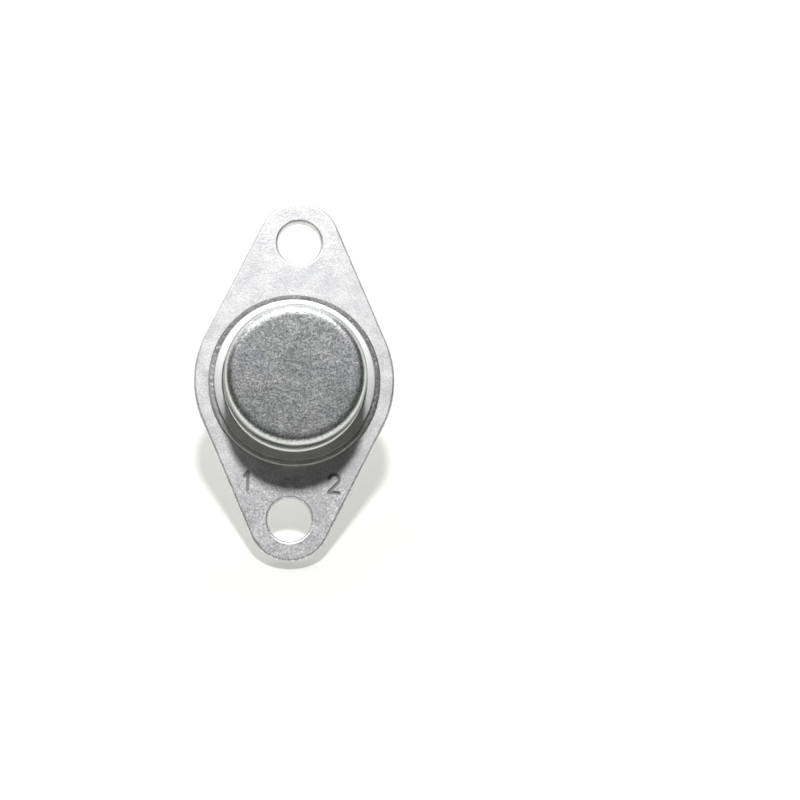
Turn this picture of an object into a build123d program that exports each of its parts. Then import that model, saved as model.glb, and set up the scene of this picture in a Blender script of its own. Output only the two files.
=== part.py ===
"""Metal-can power transistor: a diamond flange with two screw holes, a welded-on cap,
two leads in glass beads, and the chip that the can seals in.

Millimetres, +Z up through the cap. The origin is the middle of the flange's underside,
the face that seats on a heatsink. +Y runs along the flange, away from the leads' line.
The leads point down.
"""

import os
from math import atan2, degrees, sqrt

from build123d import *

os.makedirs("parts", exist_ok=True)

# Flange: one stamped plate with softened edges.
FLANGE_WIDTH = 17.6
FLANGE_THICKNESS = 1.45
FLANGE_END_RADIUS = 3.64
FLANGE_TOP_ROLL = 0.24
FLANGE_BOTTOM_ROLL = 0.20
SCREW_HOLE_SPACING = 24.38
SCREW_HOLE_DIAMETER = 3.83
HOLE_TOP_ROLL = 0.20
HOLE_BOTTOM_ROLL = 0.15

# Numerals pressed into the flange's upper face, one on each side of the lower hole.
MARK_HEIGHT = 1.6
MARK_WIDTH = 0.9
MARK_STROKE = 0.30
MARK_DEPTH = 0.16
MARK_OFFSET_X = 3.75
MARK_OFFSET_Y = -8.9

# Cap: drawn from one sheet, with a rim that is welded to the ring on the flange.
CAP_DIAMETER = 12.3
CAP_SHEET = 0.40
CAP_RIM_WIDTH = 0.90
CAP_TOP_ABOVE_FLANGE = 5.4
CAP_TOP_RADIUS = 0.85
CAP_FOOT_RADIUS = 0.18
RING_SHOULDER = 0.46
RING_HEIGHT = 0.45
RING_TOP_ROLL = 0.15
RING_BORE_CLEARANCE = 0.05

# Leads, each held in the flange by a glass bead. Plating covers what stands outside.
LEAD_SPACING = 5.08
LEAD_LINE_OFFSET = 2.54
LEAD_LENGTH = 9.8
LEAD_DIAMETER = 0.79
LEAD_PLATING = 0.01
LEAD_TIP_CHAMFER = 0.12
LEAD_HEAD_DIAMETER = 1.30
LEAD_HEAD_THICKNESS = 0.30
LEAD_HEAD_ROLL = 0.08
LEAD_HEAD_ABOVE_FLANGE = 1.10
BEAD_DIAMETER = 2.8
BEAD_RECESS = 0.03
BEAD_DISH = 0.13

# Copper spreader and chip, each on a thin film of metal that fastens it.
SPREADER_WIDTH = 6.8
SPREADER_THICKNESS = 0.80
SPREADER_CORNER = 0.40
SPREADER_TO_BEADS = 0.30
SPREADER_TO_CAP = 0.50
BRAZE_THICKNESS = 0.05
BRAZE_MARGIN = 0.10
CHIP_SIDE = 3.2
CHIP_THICKNESS = 0.26
SOLDER_THICKNESS = 0.06
SOLDER_MARGIN = 0.12

# Aluminium bond wires, with a pressed foot at each end.
WIRE_DIAMETER = 0.30
WIRE_LIFT = 0.02
WIRE_LOOP_RISE = 0.90
WIRE_LOOP_RUN = 0.55
WIRE_BEND_RADIUS = 0.35
FOOT_LENGTH = 0.60
FOOT_WIDTH = 0.42
FOOT_THICKNESS = 0.20
FOOT_END = 0.10
PAD_OFFSET_X = 0.85
PAD_INSET = 0.70

# Places that follow from the sizes above.
hole_y = SCREW_HOLE_SPACING / 2
flange_top = FLANGE_THICKNESS
ring_top = flange_top + RING_HEIGHT
cap_top = flange_top + CAP_TOP_ABOVE_FLANGE
cap_radius = CAP_DIAMETER / 2
cap_bore_radius = cap_radius - CAP_SHEET
rim_radius = cap_radius + CAP_RIM_WIDTH
rim_top = ring_top + CAP_SHEET
lead_head_top = flange_top + LEAD_HEAD_ABOVE_FLANGE
bead_radius = BEAD_DIAMETER / 2
core_radius = LEAD_DIAMETER / 2 - LEAD_PLATING
spreader_low_y = -LEAD_LINE_OFFSET + bead_radius + SPREADER_TO_BEADS
spreader_high_y = sqrt((cap_bore_radius - SPREADER_TO_CAP) ** 2 - (SPREADER_WIDTH / 2) ** 2)
spreader_y = (spreader_low_y + spreader_high_y) / 2
spreader_length = spreader_high_y - spreader_low_y
spreader_bottom = flange_top + BRAZE_THICKNESS
spreader_top = spreader_bottom + SPREADER_THICKNESS
chip_bottom = spreader_top + SOLDER_THICKNESS
chip_top = chip_bottom + CHIP_THICKNESS

# Which side of the flange each terminal's lead is on.
terminal_sides = {"base": -1, "emitter": 1}


def write(builder, name):
    """Labels a finished piece and writes it to its own file."""
    builder.part.label = name
    export_step(builder.part, f"parts/{name}.step")


def stroke(start, end):
    """Draws one straight stroke of a numeral, with round ends."""
    run = Vector(end) - Vector(start)
    with Locations(Vector(start) + run / 2):
        SlotCenterToCenter(run.length, MARK_STROKE, rotation=degrees(atan2(run.Y, run.X)))


# Flange: the outline wraps a wide middle arc and an end arc around each screw hole.
with BuildPart() as flange:
    with BuildSketch():
        Circle(FLANGE_WIDTH / 2)
        with Locations((0, hole_y), (0, -hole_y)):
            Circle(FLANGE_END_RADIUS)
        make_hull()
    extrude(amount=FLANGE_THICKNESS)
    fillet(flange.faces().sort_by(Axis.Z)[-1].edges(), FLANGE_TOP_ROLL)
    fillet(flange.faces().sort_by(Axis.Z)[0].edges(), FLANGE_BOTTOM_ROLL)
    with BuildSketch():
        with Locations((0, hole_y), (0, -hole_y)):
            Circle(SCREW_HOLE_DIAMETER / 2)
    extrude(amount=FLANGE_THICKNESS, mode=Mode.SUBTRACT)
    hole_rims = flange.edges().filter_by(GeomType.CIRCLE).filter_by(
        lambda rim: abs(rim.radius - SCREW_HOLE_DIAMETER / 2) < 1e-6
    )
    fillet(hole_rims.group_by(Axis.Z)[-1], HOLE_TOP_ROLL)
    fillet(hole_rims.group_by(Axis.Z)[0], HOLE_BOTTOM_ROLL)
    with BuildSketch():
        with Locations(*[(side * LEAD_SPACING / 2, -LEAD_LINE_OFFSET) for side in (-1, 1)]):
            Circle(bead_radius)
    extrude(amount=FLANGE_THICKNESS, mode=Mode.SUBTRACT)
    with BuildSketch(Plane((-MARK_OFFSET_X, MARK_OFFSET_Y, flange_top))):
        stroke((-MARK_WIDTH / 3, MARK_HEIGHT / 4), (0, MARK_HEIGHT / 2))
        stroke((0, MARK_HEIGHT / 2), (0, -MARK_HEIGHT / 2))
    extrude(amount=-MARK_DEPTH, mode=Mode.SUBTRACT)
    with BuildSketch(Plane((MARK_OFFSET_X, MARK_OFFSET_Y, flange_top))):
        bow_plane = Plane((0, (MARK_HEIGHT - MARK_WIDTH) / 2, 0))
        bow = Edge.make_circle(MARK_WIDTH / 2, bow_plane, -35, 165)
        SlotArc(bow, MARK_STROKE)
        stroke(bow @ 0, (-MARK_WIDTH / 2, -MARK_HEIGHT / 2))
        stroke((-MARK_WIDTH / 2, -MARK_HEIGHT / 2), (MARK_WIDTH / 2, -MARK_HEIGHT / 2))
    extrude(amount=-MARK_DEPTH, mode=Mode.SUBTRACT)
write(flange, "flange")

# Weld ring: it stands out past the cap's rim all round.
with BuildPart() as weld_ring:
    with BuildSketch(Plane.XY.offset(flange_top)):
        Circle(rim_radius + RING_SHOULDER)
        Circle(cap_bore_radius + RING_BORE_CLEARANCE, mode=Mode.SUBTRACT)
    extrude(amount=RING_HEIGHT)
    fillet(weld_ring.edges().group_by(Axis.Z)[-1].sort_by(SortBy.LENGTH)[-1], RING_TOP_ROLL)
write(weld_ring, "weld_ring")

# Cap: its section is turned about +Z, with the same sheet thickness round each bend.
with BuildPart() as cap:
    with BuildSketch(Plane.XZ):
        with BuildLine():
            FilletPolyline(
                (0, cap_top),
                (cap_radius, cap_top),
                (cap_radius, rim_top),
                (rim_radius, rim_top),
                radius=[CAP_TOP_RADIUS, CAP_FOOT_RADIUS],
            )
            Line((rim_radius, rim_top), (rim_radius, ring_top))
            FilletPolyline(
                (rim_radius, ring_top),
                (cap_bore_radius, ring_top),
                (cap_bore_radius, cap_top - CAP_SHEET),
                (0, cap_top - CAP_SHEET),
                radius=[CAP_FOOT_RADIUS + CAP_SHEET, CAP_TOP_RADIUS - CAP_SHEET],
            )
            Line((0, cap_top - CAP_SHEET), (0, cap_top))
        make_face()
    revolve(axis=Axis.Z)
write(cap, "cap")

for terminal, side in terminal_sides.items():
    lead_x = side * LEAD_SPACING / 2
    lead_plane = Plane((lead_x, -LEAD_LINE_OFFSET, 0))

    # Lead: a plated length below the flange, a bare core in the glass, and a flat head.
    with BuildPart() as lead:
        with BuildSketch(lead_plane):
            Circle(LEAD_DIAMETER / 2)
        extrude(amount=-LEAD_LENGTH)
        chamfer(lead.edges().group_by(Axis.Z)[0], LEAD_TIP_CHAMFER)
        with BuildSketch(lead_plane):
            Circle(core_radius)
        extrude(amount=lead_head_top)
        with BuildSketch(lead_plane.offset(lead_head_top)):
            Circle(LEAD_HEAD_DIAMETER / 2)
        extrude(amount=-LEAD_HEAD_THICKNESS)
        fillet(lead.edges().group_by(Axis.Z)[-1], LEAD_HEAD_ROLL)
    write(lead, f"{terminal}_pin")

    # Glass bead: dished on both faces between the lead and the wall of its hole.
    bead_plane = Plane(lead_plane.origin, x_dir=(1, 0, 0), z_dir=(0, -1, 0))
    bead_middle = (core_radius + bead_radius) / 2
    with BuildPart() as bead:
        with BuildSketch(bead_plane):
            with BuildLine():
                ThreePointArc(
                    (core_radius, 0), (bead_middle, BEAD_RECESS + BEAD_DISH), (bead_radius, BEAD_RECESS)
                )
                Line((bead_radius, BEAD_RECESS), (bead_radius, flange_top - BEAD_RECESS))
                ThreePointArc(
                    (bead_radius, flange_top - BEAD_RECESS),
                    (bead_middle, flange_top - BEAD_RECESS - BEAD_DISH),
                    (core_radius, flange_top),
                )
                Line((core_radius, flange_top), (core_radius, 0))
            make_face()
        revolve(axis=Axis(lead_plane.origin, (0, 0, 1)))
    write(bead, f"{terminal}_glass_seal")

# Braze film and copper spreader: from beside the beads to near the cap's wall.
with BuildPart() as spreader_braze:
    with BuildSketch(Plane((0, spreader_y, flange_top))):
        RectangleRounded(
            SPREADER_WIDTH + 2 * BRAZE_MARGIN, spreader_length + 2 * BRAZE_MARGIN, SPREADER_CORNER
        )
    extrude(amount=BRAZE_THICKNESS)
write(spreader_braze, "spreader_braze")

with BuildPart() as heat_spreader:
    with BuildSketch(Plane((0, spreader_y, spreader_bottom))):
        RectangleRounded(SPREADER_WIDTH, spreader_length, SPREADER_CORNER)
    extrude(amount=SPREADER_THICKNESS)
write(heat_spreader, "heat_spreader")

# Solder film and chip, on the middle of the spreader.
with BuildPart() as die_solder:
    with BuildSketch(Plane((0, spreader_y, spreader_top))):
        Rectangle(CHIP_SIDE + 2 * SOLDER_MARGIN, CHIP_SIDE + 2 * SOLDER_MARGIN)
    extrude(amount=SOLDER_THICKNESS)
write(die_solder, "die_solder")

with BuildPart() as silicon_die:
    with BuildSketch(Plane((0, spreader_y, chip_bottom))):
        Rectangle(CHIP_SIDE, CHIP_SIDE)
    extrude(amount=CHIP_THICKNESS)
write(silicon_die, "silicon_die")

# Bond wires: each loops from a pad near the chip's edge to the head of its lead.
for terminal, side in terminal_sides.items():
    pad = Vector(side * PAD_OFFSET_X, spreader_y - CHIP_SIDE / 2 + PAD_INSET, chip_top)
    head = Vector(side * LEAD_SPACING / 2, -LEAD_LINE_OFFSET, lead_head_top)
    run = Vector(head.X - pad.X, head.Y - pad.Y, 0)
    wire_plane = Plane(Vector(pad.X, pad.Y, 0), x_dir=run, z_dir=run.cross(Vector(0, 0, 1)))
    axis_lift = WIRE_DIAMETER / 2 + WIRE_LIFT
    loop_z = max(pad.Z, head.Z) + axis_lift + WIRE_LOOP_RISE
    wire_end = FOOT_LENGTH / 2 - FOOT_END
    bend_start = FOOT_LENGTH / 2
    bend_end = bend_start + WIRE_LOOP_RUN

    with BuildPart() as bond_wire:
        with BuildLine(wire_plane):
            route = FilletPolyline(
                (-wire_end, pad.Z + axis_lift),
                (bend_start, pad.Z + axis_lift),
                (bend_end, loop_z),
                (run.length - bend_end, loop_z),
                (run.length - bend_start, head.Z + axis_lift),
                (run.length + wire_end, head.Z + axis_lift),
                radius=WIRE_BEND_RADIUS,
            )
        with BuildSketch(Plane(route @ 0, z_dir=route % 0)):
            Circle(WIRE_DIAMETER / 2)
        sweep(path=route)
        for foot in (pad, head):
            with BuildSketch(Plane(foot, x_dir=run)):
                Rectangle(FOOT_LENGTH, FOOT_WIDTH)
            extrude(amount=FOOT_THICKNESS)
    write(bond_wire, f"{terminal}_bond_wire")
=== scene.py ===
from math import atan2, cos, pi, radians, sin

import bmesh
import bpy
from mathutils import Matrix, Vector, noise


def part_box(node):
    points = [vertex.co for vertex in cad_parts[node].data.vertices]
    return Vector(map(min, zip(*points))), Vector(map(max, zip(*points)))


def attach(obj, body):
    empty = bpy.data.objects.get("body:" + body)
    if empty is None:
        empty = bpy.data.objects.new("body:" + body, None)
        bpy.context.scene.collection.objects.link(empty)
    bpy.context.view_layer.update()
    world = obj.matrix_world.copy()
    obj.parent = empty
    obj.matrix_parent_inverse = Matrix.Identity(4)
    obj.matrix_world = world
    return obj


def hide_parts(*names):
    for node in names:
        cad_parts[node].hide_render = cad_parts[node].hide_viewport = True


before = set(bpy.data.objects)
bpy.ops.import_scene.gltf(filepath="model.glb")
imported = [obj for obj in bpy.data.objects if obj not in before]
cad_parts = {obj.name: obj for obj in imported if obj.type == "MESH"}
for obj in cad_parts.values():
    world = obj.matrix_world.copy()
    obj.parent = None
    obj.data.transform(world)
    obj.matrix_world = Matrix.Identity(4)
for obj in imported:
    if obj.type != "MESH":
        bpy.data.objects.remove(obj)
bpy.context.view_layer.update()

MM = 0.001

# Sizes in millimetres that the frame's boxes don't give.
CAP_RADIUS = 6.15
CAP_SHEET = 0.40
CAP_TOP_RADIUS = 0.85
CAP_EASE_RADIUS = 3.5
CAP_EASE_ANGLE = 6
CAP_FOOT_RADIUS = 0.26
RIM_EDGE_RADIUS = 0.05
RING_EDGE_RADIUS = 0.15
RING_BORE_RADIUS = 5.80
WELD_HEIGHT = 0.05
WELD_REACH = 0.28
LEAD_RADIUS = 0.395
LEAD_TIP_TAPER = 0.14
LEAD_HEAD_HEIGHT = 0.30
LEAD_HEAD_EDGE = 0.08
BEAD_RADIUS = 1.40
BEAD_GRIP = 0.01

# Steps round a turned piece, by how large it is.
ROUND_STEPS = 192
WELD_STEPS = 3 * ROUND_STEPS
BEAD_STEPS = 96
LEAD_STEPS = 48

# The flange's lower end is stained and flecked, with painted glints among the flecks, from the first place
# to the second along Y.
HANDLED_AND_GLINTING_FROM, HANDLED_AND_GLINTING_FULL = -7.0, -10.0

# Key lamp: power, spread and tilt in degrees, and how far it leans to the side.
KEY_POWER = 2.4
KEY_SPREAD = 7
KEY_TILT = 37
KEY_SIDE = -0.035

# How bright the room is in front, behind, low down and everywhere else.
ROOM_FRONT, ROOM_BACK, ROOM_LOW, ROOM_REST = 0.5, 1.1, 0.85, 0.03
ROOM_BACK_TOWARD = (-0.26, 0.966, 0.0)

# The floor: how far it reaches each way, in metres, and its share of plain white.
FLOOR_REACH_M = 6.0
FLOOR_WHITE = 0.38

# The camera: lens in millimetres, and its place and directions in the CAD frame.
CAMERA_LENS = 94.25
CAMERA_PLACE = (-3.14, -19.70, 183.88)
CAMERA_LOOK = (0.0677, 0.0998, -0.9927)
CAMERA_UP = (-0.0374, 0.9945, 0.0974)

TERMINALS = ("base", "emitter")
WHITE = (1.0, 1.0, 1.0, 1.0)


# ---- mesh helpers ------------------------------------------------------------------------

def mm_box(node):
    """The lowest and highest corners of a node, in millimetres."""
    low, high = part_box(node)
    return Vector(low) / MM, Vector(high) / MM


def upright(node):
    """Where a node's own upright axis stands, in millimetres."""
    low, high = mm_box(node)
    return (low.x + high.x) / 2, (low.y + high.y) / 2


def arc(centre, radius, start, end, count):
    """Points of a section's arc, by angle in degrees from the outward radius."""
    turns = [radians(start + (end - start) * i / count) for i in range(count + 1)]
    return [(centre[0] + radius * cos(turn), centre[1] + radius * sin(turn)) for turn in turns]


def put_in_order(elements, place):
    """Numbers points or faces by where they lie, because a spin leaves them in no fixed order."""
    by_place = sorted(elements, key=lambda element: [round(value, 5) for value in place(element)])
    for index, element in enumerate(by_place):
        element.index = index
    elements.sort()


def turned(section, middle=(0.0, 0.0), closed=True, steps=ROUND_STEPS):
    """A bmesh in millimetres: a section of (radius, height) points turned about a vertical line."""
    mesh = bmesh.new()
    line = [mesh.verts.new((middle[0] + radius, middle[1], height)) for radius, height in section]
    ends = line[1:] + line[:1] if closed else line[1:]
    sides = [mesh.edges.new(pair) for pair in zip(line, ends)]
    bmesh.ops.spin(
        mesh,
        geom=line + sides,
        cent=(middle[0], middle[1], 0),
        axis=(0, 0, 1),
        angle=2 * pi,
        steps=steps,
        use_merge=True,
    )
    bmesh.ops.remove_doubles(mesh, verts=mesh.verts, dist=1e-5)
    put_in_order(mesh.verts, lambda vert: vert.co)
    put_in_order(mesh.faces, lambda face: face.calc_center_median())
    return mesh


def finished(mesh, name, material, node, sharp):
    """Turns a bmesh in millimetres into a piece that stands for one CAD node."""
    bmesh.ops.recalc_face_normals(mesh, faces=mesh.faces)
    bmesh.ops.scale(mesh, vec=(MM, MM, MM), verts=mesh.verts)
    data = bpy.data.meshes.new(name)
    mesh.to_mesh(data)
    mesh.free()
    data.shade_smooth()
    data.set_sharp_from_angle(angle=radians(sharp))
    piece = bpy.data.objects.new(name, data)
    bpy.context.scene.collection.objects.link(piece)
    data.materials.append(material)
    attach(piece, "root")
    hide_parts(node)
    return piece


# ---- node helpers ------------------------------------------------------------------------

class NodeSheet:
    """The nodes of one material or world, put down one by one."""

    def __init__(self, tree):
        self.nodes = tree.nodes
        self.links = tree.links

    def fill(self, socket, value):
        """Sets a socket to a value or links it to another node's output."""
        if isinstance(value, bpy.types.NodeSocket):
            self.links.new(value, socket)
        else:
            socket.default_value = value

    def put(self, kind, inputs, **settings):
        """Adds a node; inputs are values or the outputs of other nodes."""
        node = self.nodes.new(kind)
        for key, value in settings.items():
            setattr(node, key, value)
        for key, value in inputs.items():
            self.fill(node.inputs[key], value)
        return node

    def math(self, operation, first, second=0.0, third=0.0):
        """One number worked out from others."""
        return self.put("ShaderNodeMath", {0: first, 1: second, 2: third}, operation=operation).outputs[0]

    def span(self, value, low, high, out_low=0.0, out_high=1.0):
        """Maps a number from one range onto another, held at its ends."""
        return self.put(
            "ShaderNodeMapRange",
            {"Value": value, "From Min": low, "From Max": high, "To Min": out_low, "To Max": out_high},
            interpolation_type="SMOOTHSTEP",
        ).outputs[0]

    def dot(self, place, direction):
        """How far a place lies along a direction."""
        return self.put(
            "ShaderNodeVectorMath", {0: place, 1: direction}, operation="DOT_PRODUCT"
        ).outputs["Value"]

    def part_of(self, place, axis):
        """One of a vector's three numbers: 0 for X, 1 for Y and 2 for Z."""
        return self.put("ShaderNodeSeparateXYZ", {0: place}).outputs[axis]

    def shader_mix(self, share, first, second):
        """A shader between two."""
        return self.put("ShaderNodeMixShader", {0: share, 1: first, 2: second}).outputs[0]


class Finish(NodeSheet):
    """A procedural material built up from patterns that are measured in millimetres."""

    def __init__(self, name, **settings):
        self.material = bpy.data.materials.new(name)
        self.material.use_nodes = True
        super().__init__(self.material.node_tree)
        self.surface = self.nodes["Principled BSDF"]
        for key, value in settings.items():
            self.surface.inputs[key.replace("_", " ")].default_value = value
        metres = self.put("ShaderNodeTexCoord", {}).outputs["Object"]
        scale = (1 / MM, 1 / MM, 1 / MM)
        self.place = self.put("ShaderNodeMapping", {"Vector": metres, "Scale": scale}).outputs[0]
        self.relief = None

    def noise(self, size, detail=2.0, roughness=0.5, stretch=(1, 1, 1), offset=0.0):
        """Cloudy noise whose patches are about size millimetres across."""
        place = self.put(
            "ShaderNodeMapping",
            {"Vector": self.place, "Scale": stretch, "Location": (offset, offset, offset)},
        ).outputs[0]
        return self.put(
            "ShaderNodeTexNoise",
            {"Vector": place, "Scale": 1 / size, "Detail": detail, "Roughness": roughness},
        ).outputs[0]

    def blend(self, factor, first, second):
        """A colour between two, each a tuple or a node's output."""
        mix = self.put("ShaderNodeMix", {0: factor}, data_type="RGBA")
        for socket, colour in ((mix.inputs[6], first), (mix.inputs[7], second)):
            self.fill(socket, (*colour, 1) if isinstance(colour, tuple) else colour)
        return mix.outputs[2]

    def raise_by(self, height, depth_mm):
        """Adds relief: height runs from 0 to 1 over depth_mm millimetres."""
        inputs = {"Height": height, "Distance": depth_mm * MM, "Strength": 1.0}
        if self.relief is not None:
            inputs["Normal"] = self.relief
        self.relief = self.put("ShaderNodeBump", inputs).outputs[0]
        self.drive("Normal", self.relief)

    def drive(self, key, value):
        """Links a pattern to one of the surface's sockets."""
        self.links.new(value, self.surface.inputs[key])

    def height(self):
        """Height above the flange's mounting face, in millimetres."""
        return self.part_of(self.place, 2)

    def from_axis(self):
        """Distance from the can's own upright axis, in millimetres."""
        across = self.put(
            "ShaderNodeVectorMath", {0: self.place, 1: (1, 1, 0)}, operation="MULTIPLY"
        ).outputs[0]
        return self.put("ShaderNodeVectorMath", {0: across}, operation="LENGTH").outputs["Value"]


# ---- finishes ----------------------------------------------------------------------------

def flange_plate():
    """Satin nickel on tumbled sheet: a fine grain, stains and flecks with painted glints at its lower end,
    and painted shade in the stamped numerals.
    """
    skin = Finish("satin_nickel_plate", Metallic=1.0)
    face = mm_box("flange")[1].z
    clouds = skin.noise(1.6, detail=3)
    grain = skin.noise(0.14, detail=2, roughness=0.6)
    fleck = skin.noise(0.19, detail=1, offset=80.0)

    tone = skin.blend(skin.span(clouds, 0.3, 0.7), (0.82, 0.82, 0.835), (0.92, 0.92, 0.92))
    tone = skin.blend(skin.span(grain, 0.35, 0.65), skin.blend(0.28, tone, (0.25, 0.25, 0.27)), tone)

    lower_end = skin.span(skin.part_of(skin.place, 1), HANDLED_AND_GLINTING_FROM, HANDLED_AND_GLINTING_FULL)
    handled_and_glinting = skin.math("MULTIPLY", lower_end, skin.span(skin.height(), face - 0.45, face - 0.05))
    blots = skin.span(skin.noise(0.9, detail=3, roughness=0.65, offset=60.0), 0.35, 0.65)
    stain = skin.math("MULTIPLY", skin.math("MULTIPLY", handled_and_glinting, blots), 0.35)
    tone = skin.blend(stain, tone, (0.48, 0.47, 0.51))
    dark_fleck = skin.math("MULTIPLY", handled_and_glinting, skin.span(fleck, 0.40, 0.32, 0.0, 0.55))
    tone = skin.blend(dark_fleck, tone, (0.30, 0.30, 0.33))
    # Painted glints: pure white flecks in the colour stand in for sparkle on the grain.
    painted_glint_fleck = skin.math("MULTIPLY", handled_and_glinting, skin.span(fleck, 0.58, 0.66))
    tone = skin.blend(painted_glint_fleck, tone, (1.0, 1.0, 1.0))

    upward = skin.part_of(skin.put("ShaderNodeNewGeometry", {}).outputs["True Normal"], 2)
    # Painted shade: the upward floors of the sunk numerals are darkened in the colour, standing in for the
    # shade inside the stamped grooves.
    sunk = skin.span(skin.height(), face - 0.06, face - 0.02, 1.0, 0.0)
    painted_numeral_shade = skin.math("MULTIPLY", sunk, skin.span(upward, 0.90, 0.97))
    skin.drive("Base Color", skin.blend(painted_numeral_shade, tone, (0.36, 0.36, 0.37)))
    skin.drive("Roughness", skin.span(clouds, 0.3, 0.7, 0.46, 0.53))
    skin.raise_by(skin.noise(0.7, detail=2), 0.008)
    skin.raise_by(grain, 0.011)
    return skin.material


def cap_plate():
    """Nickel on drawn sheet: a mottled top with painted glints, bright sides with a painted dark reflection
    band below the shoulder, and a bright rim with painted shade at its outer edge."""
    skin = Finish("drawn_nickel_plate", Metallic=1.0)
    rim_radius, top_height = mm_box("cap")[1].x, mm_box("cap")[1].z
    rim_height = mm_box("cap")[0].z + CAP_SHEET
    shoulder = top_height - CAP_TOP_RADIUS
    clouds = skin.noise(1.1, detail=3, roughness=0.6)
    tint = skin.noise(4.0, detail=1, offset=20.0)
    green = skin.noise(5.0, detail=1, offset=45.0)
    grain = skin.noise(0.17, detail=2, roughness=0.65)
    painted_glints = skin.noise(0.22, detail=1, offset=11.0)
    dark_specks = skin.noise(0.28, detail=1, offset=31.0)
    top = skin.span(skin.height(), top_height - 0.40, top_height - 0.01)
    rim = skin.span(skin.height(), rim_height + 0.03, rim_height + 0.005)

    dull = skin.blend(skin.span(tint, 0.4, 0.6), (0.68, 0.70, 0.74), (0.78, 0.73, 0.745))
    dull = skin.blend(skin.span(green, 0.45, 0.65, 0.0, 0.8), dull, (0.56, 0.62, 0.60))
    dull = skin.blend(skin.span(clouds, 0.36, 0.64, 0.0, 0.8), dull, (0.94, 0.93, 0.93))
    dull = skin.blend(skin.span(grain, 0.36, 0.64), skin.blend(0.70, dull, (0.20, 0.21, 0.21)), dull)
    # Dark specks scattered in the colour.
    dull = skin.blend(skin.span(dark_specks, 0.63, 0.73, 0.0, 0.7), dull, (0.16, 0.16, 0.17))
    # Painted glints: white specks in the colour stand in for sparkle on the mottled top.
    dull = skin.blend(skin.span(painted_glints, 0.63, 0.72), dull, (1.0, 1.0, 1.0))

    # Painted dark reflection: drawn darkens the upper side wall and the lower part of the shoulder, darkest
    # just below the shoulder, standing in for the shadowed flange and floor seen in the metal.
    below = skin.span(skin.height(), shoulder - 0.80, shoulder, 0.0, 0.80)
    drawn = skin.math("MULTIPLY", below, skin.span(skin.height(), shoulder + 0.56, shoulder + 0.36))
    side = skin.blend(drawn, (0.74, 0.76, 0.75), (0.15, 0.16, 0.16))
    # Painted shade: the rim darkens towards its outer edge, where it meets the weld ring.
    edge = skin.span(skin.from_axis(), rim_radius - 0.12, rim_radius - 0.03)
    rim_with_painted_edge_shade = skin.blend(edge, (0.97, 0.97, 0.97), (0.42, 0.42, 0.42))
    skin.drive("Base Color", skin.blend(top, skin.blend(rim, side, rim_with_painted_edge_shade), dull))

    gloss = skin.math("MULTIPLY_ADD", top, 0.15, 0.21)
    skin.drive("Roughness", skin.math("MULTIPLY_ADD", rim, 0.23, gloss))
    uneven = skin.math("MULTIPLY_ADD", top, 0.94, 0.06)
    skin.raise_by(skin.math("MULTIPLY", skin.noise(0.6, detail=2, offset=7.0), uneven), 0.010)
    skin.raise_by(skin.math("MULTIPLY", grain, uneven), 0.008)
    return skin.material


def weld_metal():
    """Nickel and steel burnt dull by the weld, with bright flecks."""
    skin = Finish("welded_metal", Metallic=1.0)
    flecks = skin.noise(0.25, detail=3, roughness=0.7)
    patches = skin.noise(1.8, detail=2, offset=4.0)
    upper_side = skin.span(skin.dot(skin.place, (0.5, 1.0, 0.0)), -4.0, 1.0)
    burnt = skin.math("ADD", upper_side, skin.span(patches, 0.3, 0.7, -0.25, 0.25))
    pale = skin.blend(skin.span(patches, 0.35, 0.65), (0.44, 0.44, 0.44), (0.58, 0.57, 0.57))
    dark = skin.blend(skin.span(patches, 0.35, 0.65), (0.19, 0.19, 0.19), (0.32, 0.32, 0.315))
    oxide = skin.blend(burnt, pale, dark)
    skin.drive("Base Color", skin.blend(skin.span(flecks, 0.56, 0.70), oxide, (0.62, 0.62, 0.61)))
    skin.drive("Roughness", skin.span(patches, 0.3, 0.7, 0.60, 0.72))
    skin.raise_by(flecks, 0.03)
    return skin.material


def lead_plate():
    """Nickel on drawn wire: fine lines along the lead, dulled in patches by handling."""
    skin = Finish("plated_lead_wire", Metallic=1.0)
    lines = skin.noise(0.10, detail=2, stretch=(1, 1, 0.04))
    patches = skin.noise(1.3, detail=2)
    tone = skin.blend(skin.span(patches, 0.35, 0.65), (0.60, 0.60, 0.59), (0.76, 0.76, 0.75))
    skin.drive("Base Color", tone)
    skin.drive("Roughness", skin.span(patches, 0.3, 0.7, 0.26, 0.40))
    skin.raise_by(lines, 0.012)
    return skin.material


def seal_glass():
    """Dark blue-green sealing glass, fired to a clear gloss."""
    skin = Finish(
        "sealing_glass", Roughness=0.08, Coat_Weight=1.0, Coat_Roughness=0.03, Specular_IOR_Level=0.6
    )
    clouds = skin.noise(0.7, detail=2)
    tone = skin.blend(skin.span(clouds, 0.35, 0.65), (0.010, 0.030, 0.038), (0.040, 0.085, 0.095))
    skin.drive("Base Color", tone)
    skin.raise_by(skin.noise(0.5, detail=1, offset=3.0), 0.015)
    return skin.material


def plain_metal(name, dark, light, roughness, size):
    """Bare metal whose colour and gloss vary a little in patches of one size."""
    skin = Finish(name, Metallic=1.0)
    patches = skin.noise(size, detail=3)
    skin.drive("Base Color", skin.blend(skin.span(patches, 0.3, 0.7), dark, light))
    skin.drive("Roughness", skin.span(patches, 0.3, 0.7, roughness - 0.06, roughness + 0.06))
    skin.raise_by(patches, 0.01)
    return skin.material


def chip_silicon():
    """Polished silicon with rows of small aluminium pads."""
    skin = Finish("chip_silicon", Roughness=0.15, Metallic=0.6)
    pads = skin.put(
        "ShaderNodeTexBrick",
        {"Vector": skin.place, "Scale": 4.0, "Mortar Size": 0.03,
         "Color1": (0.75, 0.75, 0.77, 1), "Color2": (0.70, 0.71, 0.74, 1), "Mortar": (0.07, 0.08, 0.12, 1)},
    ).outputs["Color"]
    skin.drive("Base Color", pads)
    skin.raise_by(skin.noise(0.1, detail=2), 0.002)
    return skin.material


# ---- pieces ------------------------------------------------------------------------------

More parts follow.
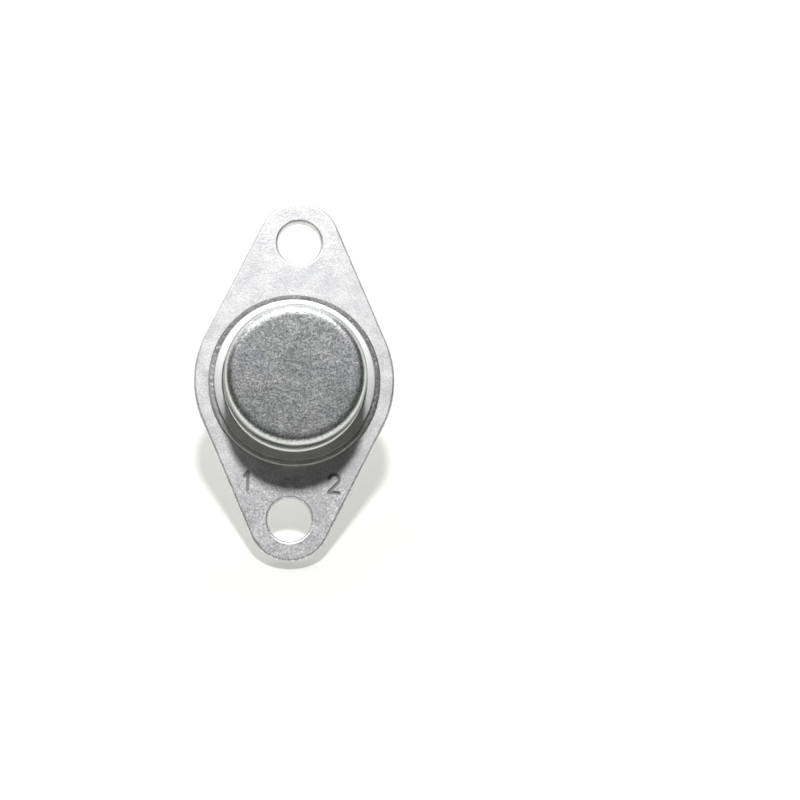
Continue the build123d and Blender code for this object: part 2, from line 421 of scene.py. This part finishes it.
def make_cap(material):
    """The drawn can: one sheet from the middle of its top to the edge of its rim."""
    low, high = mm_box("cap")
    rim_radius, rim_low, top = high.x, low.z, high.z
    rim_top = rim_low + CAP_SHEET
    bore = CAP_RADIUS - CAP_SHEET
    ease = radians(CAP_EASE_ANGLE)
    ease_end = top - CAP_EASE_RADIUS * (1 - cos(ease))
    outer_middle = (CAP_RADIUS - CAP_TOP_RADIUS, ease_end - CAP_TOP_RADIUS * cos(ease))
    ease_middle = (outer_middle[0] - (CAP_EASE_RADIUS - CAP_TOP_RADIUS) * sin(ease), top - CAP_EASE_RADIUS)
    foot_middle = (CAP_RADIUS + CAP_FOOT_RADIUS, rim_top + CAP_FOOT_RADIUS)
    edge = RIM_EDGE_RADIUS
    section = [(0, top), (CAP_RADIUS / 2, top)]
    section += arc(ease_middle, CAP_EASE_RADIUS, 90, 90 - CAP_EASE_ANGLE, 4)
    section += arc(outer_middle, CAP_TOP_RADIUS, 90 - CAP_EASE_ANGLE, 0, 16)[1:]
    section += arc(foot_middle, CAP_FOOT_RADIUS, 180, 270, 6)
    section += arc((rim_radius - edge, rim_top - edge), edge, 90, 0, 4)
    section += [(rim_radius, rim_low), (foot_middle[0], rim_low)]
    section += arc(foot_middle, CAP_FOOT_RADIUS + CAP_SHEET, 270, 180, 6)[1:]
    section += arc(outer_middle, CAP_TOP_RADIUS - CAP_SHEET, 0, 90, 8)
    section += [(bore / 2, top - CAP_SHEET), (0, top - CAP_SHEET)]
    return finished(turned(section, closed=False), "cap_can", material, "cap", sharp=50)


def make_ring(material):
    """The weld ring: a smooth outer edge and, against the cap's rim, a rough burnt shoulder."""
    low, high = mm_box("weld_ring")
    rim_radius = mm_box("cap")[1].x
    outer, bottom, top = high.x, low.z, high.z
    edge = RING_EDGE_RADIUS
    weld_middle, shoulder_end = rim_radius + 0.10, rim_radius - 0.12
    width, parts = outer - edge - shoulder_end, 8
    section = [(RING_BORE_RADIUS, bottom), (outer, bottom)]
    section += arc((outer - edge, top - edge), edge, 0, 90, 5)
    section += [(outer - edge - width * i / parts, top) for i in range(1, parts + 1)]
    section += [(RING_BORE_RADIUS, top)]
    mesh = turned(section, steps=WELD_STEPS)
    for vert in mesh.verts:
        burnt = max(0.0, 1 - abs(Vector(vert.co.xy).length - weld_middle) / WELD_REACH)
        if vert.co.z > top - 0.5 * edge and burnt:
            bead = noise.noise(vert.co * 2.6) + 0.6 * noise.noise(vert.co * 7.0)
            vert.co.z += burnt * WELD_HEIGHT * (0.5 + bead)
    return finished(mesh, "ring_weld", material, "weld_ring", sharp=60)


def make_lead(terminal, material):
    """A lead: a sheared and slightly rounded tip, a plain shank, and a flat head in the can."""
    low, high = mm_box(f"{terminal}_pin")
    head_radius = (high.x - low.x) / 2
    taper, edge = LEAD_TIP_TAPER, LEAD_HEAD_EDGE
    shank_low, shank_high, parts = low.z + taper, high.z - LEAD_HEAD_HEIGHT, 24
    section = [(0, low.z), (LEAD_RADIUS - taper, low.z)]
    section += arc((LEAD_RADIUS - taper, shank_low), taper, -80, 0, 5)
    rise = (shank_high - shank_low) / parts
    section += [(LEAD_RADIUS, shank_low + rise * i) for i in range(1, parts + 1)]
    section += [(head_radius, shank_high)]
    section += arc((head_radius - edge, high.z - edge), edge, 0, 90, 4)
    section += [(0, high.z)]
    mesh = turned(section, upright(f"{terminal}_pin"), closed=False, steps=LEAD_STEPS)
    return finished(mesh, f"{terminal}_lead_wire", material, f"{terminal}_pin", sharp=50)


def make_bead(terminal, material):
    """A glass bead: a low lip at its wall, a dished ring, and glass drawn up the lead."""
    seal = f"{terminal}_glass_seal"
    low, high = mm_box(seal)
    inner = LEAD_RADIUS - BEAD_GRIP
    width = BEAD_RADIUS - inner
    # Each pair is a share of the way out from the lead, and how deep the dish is there.
    dish = [
        (1.00, 0.03),
        (0.93, 0.045),
        (0.85, 0.10),
        (0.74, 0.15),
        (0.60, 0.175),
        (0.46, 0.17),
        (0.32, 0.145),
        (0.20, 0.10),
        (0.10, 0.05),
        (0.04, 0.01),
        (0.0, 0.0),
    ]
    section = [(inner + width * share, low.z + depth) for share, depth in dish]
    section += [(inner + width * share, high.z - depth) for share, depth in reversed(dish)]
    mesh = turned(section, upright(seal), steps=BEAD_STEPS)
    return finished(mesh, f"{terminal}_glass_bead", material, seal, sharp=60)


def dress(node, material):
    """Gives a carried-over CAD node its finish."""
    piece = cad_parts[node]
    for slot in piece.material_slots:
        slot.material = material


# ---- stage -------------------------------------------------------------------------------

def make_floor():
    """A wide pale floor. The part leans on it with its leads' tips and the flange's lower tip."""
    leads, flange = mm_box("base_pin")[0], mm_box("flange")[0]
    leads_y = upright("base_pin")[1] - LEAD_RADIUS
    mesh = bmesh.new()
    bmesh.ops.create_grid(mesh, x_segments=1, y_segments=1, size=FLOOR_REACH_M)
    data = bpy.data.meshes.new("floor")
    mesh.to_mesh(data)
    mesh.free()
    floor = bpy.data.objects.new("floor", data)
    floor.location = Vector((0, flange.y, flange.z)) * MM
    floor.rotation_euler.x = -atan2(flange.z - leads.z, leads_y - flange.y)
    bpy.context.scene.collection.objects.link(floor)
    data.materials.append(pale_paper())


def pale_paper():
    """Pale paper, whiter to the eye and in gloss, and see-through from below."""
    skin = Finish("pale_paper", Roughness=0.9)
    fibres = skin.noise(6.0, detail=3)
    tone = skin.blend(skin.span(fibres, 0.3, 0.7), (0.93, 0.935, 0.85), (0.95, 0.955, 0.87))
    skin.drive("Base Color", tone)
    rays = skin.put("ShaderNodeLightPath", {}).outputs
    mirrored = skin.math("MAXIMUM", rays["Is Glossy Ray"], rays["Is Transmission Ray"])
    seen = skin.math("MAXIMUM", rays["Is Camera Ray"], mirrored)
    white = skin.put("ShaderNodeEmission", {"Color": WHITE, "Strength": 1.0}).outputs[0]
    paper = skin.shader_mix(skin.math("MULTIPLY", seen, FLOOR_WHITE), skin.surface.outputs[0], white)
    clear = skin.put("ShaderNodeBsdfTransparent", {}).outputs[0]
    behind = skin.put("ShaderNodeNewGeometry", {}).outputs["Backfacing"]
    skin.fill(skin.nodes["Material Output"].inputs["Surface"], skin.shader_mix(behind, paper, clear))
    return skin.material


def make_key_lamp():
    """A soft key lamp from beyond the upper hole, nearly square to the floor."""
    lamp = bpy.data.lights.new("key", "SUN")
    lamp.energy = KEY_POWER
    lamp.angle = radians(KEY_SPREAD)
    key = bpy.data.objects.new("key", lamp)
    tilt = radians(KEY_TILT)
    toward = Vector((KEY_SIDE * sin(tilt), sin(tilt), cos(tilt)))
    key.rotation_euler = toward.to_track_quat("Z", "Y").to_euler()
    bpy.context.scene.collection.objects.link(key)


def make_room():
    """A room that is pale in front, behind and low down, dark overhead, and white to the eye."""
    world = bpy.data.worlds.new("room")
    bpy.context.scene.world = world
    world.use_nodes = True
    room = NodeSheet(world.node_tree)
    toward = room.put("ShaderNodeTexCoord", {}).outputs["Generated"]
    front = room.span(room.part_of(toward, 1), -0.45, -0.95, 0.0, ROOM_FRONT)
    back = room.span(room.dot(toward, ROOM_BACK_TOWARD), 0.48, 0.78, 0.0, ROOM_BACK)
    low = room.span(room.part_of(toward, 2), 0.22, 0.0, 0.0, ROOM_LOW)
    glow = room.math("MAXIMUM", room.math("ADD", front, back), low)
    walls = room.nodes["Background"]
    room.fill(walls.inputs["Color"], WHITE)
    room.fill(walls.inputs["Strength"], room.math("ADD", glow, ROOM_REST))
    plain_white = room.put("ShaderNodeBackground", {"Color": WHITE}).outputs[0]
    rays = room.put("ShaderNodeLightPath", {}).outputs
    seen = room.math("MAXIMUM", rays["Is Camera Ray"], rays["Is Transmission Ray"])
    mix = room.shader_mix(seen, walls.outputs[0], plain_white)
    room.fill(room.nodes["World Output"].inputs["Surface"], mix)


def make_camera():
    """Looks down on the cap from a little past the lower hole, with the part left of the middle."""
    lens = bpy.data.cameras.new("camera")
    lens.sensor_width = 36
    lens.lens = CAMERA_LENS
    lens.clip_start = 0.01
    lens.clip_end = 50
    camera = bpy.data.objects.new("camera", lens)
    look = Vector(CAMERA_LOOK).normalized()
    right = look.cross(Vector(CAMERA_UP)).normalized()
    up = right.cross(look)
    turn = Matrix((right, up, -look)).transposed().to_4x4()
    camera.matrix_world = Matrix.Translation(Vector(CAMERA_PLACE) * MM) @ turn
    bpy.context.scene.collection.objects.link(camera)
    bpy.context.scene.camera = camera


# ---- build -------------------------------------------------------------------------------

make_cap(cap_plate())
make_ring(weld_metal())
lead_metal = lead_plate()
glass = seal_glass()
for terminal in TERMINALS:
    make_lead(terminal, lead_metal)
    make_bead(terminal, glass)

dress("flange", flange_plate())
dress("heat_spreader", plain_metal("spreader_copper", (0.72, 0.36, 0.22), (0.86, 0.48, 0.32), 0.35, 0.8))
dress("spreader_braze", plain_metal("silver_braze", (0.70, 0.66, 0.58), (0.82, 0.79, 0.72), 0.3, 0.5))
dress("die_solder", plain_metal("soft_solder", (0.45, 0.45, 0.46), (0.62, 0.62, 0.63), 0.35, 0.4))
dress("silicon_die", chip_silicon())
wire_metal = plain_metal("bond_wire_metal", (0.78, 0.78, 0.79), (0.90, 0.90, 0.91), 0.28, 0.3)
for terminal in TERMINALS:
    dress(f"{terminal}_bond_wire", wire_metal)

make_floor()
make_key_lamp()
make_room()
make_camera()
bpy.context.scene.view_settings.view_transform = "Standard"
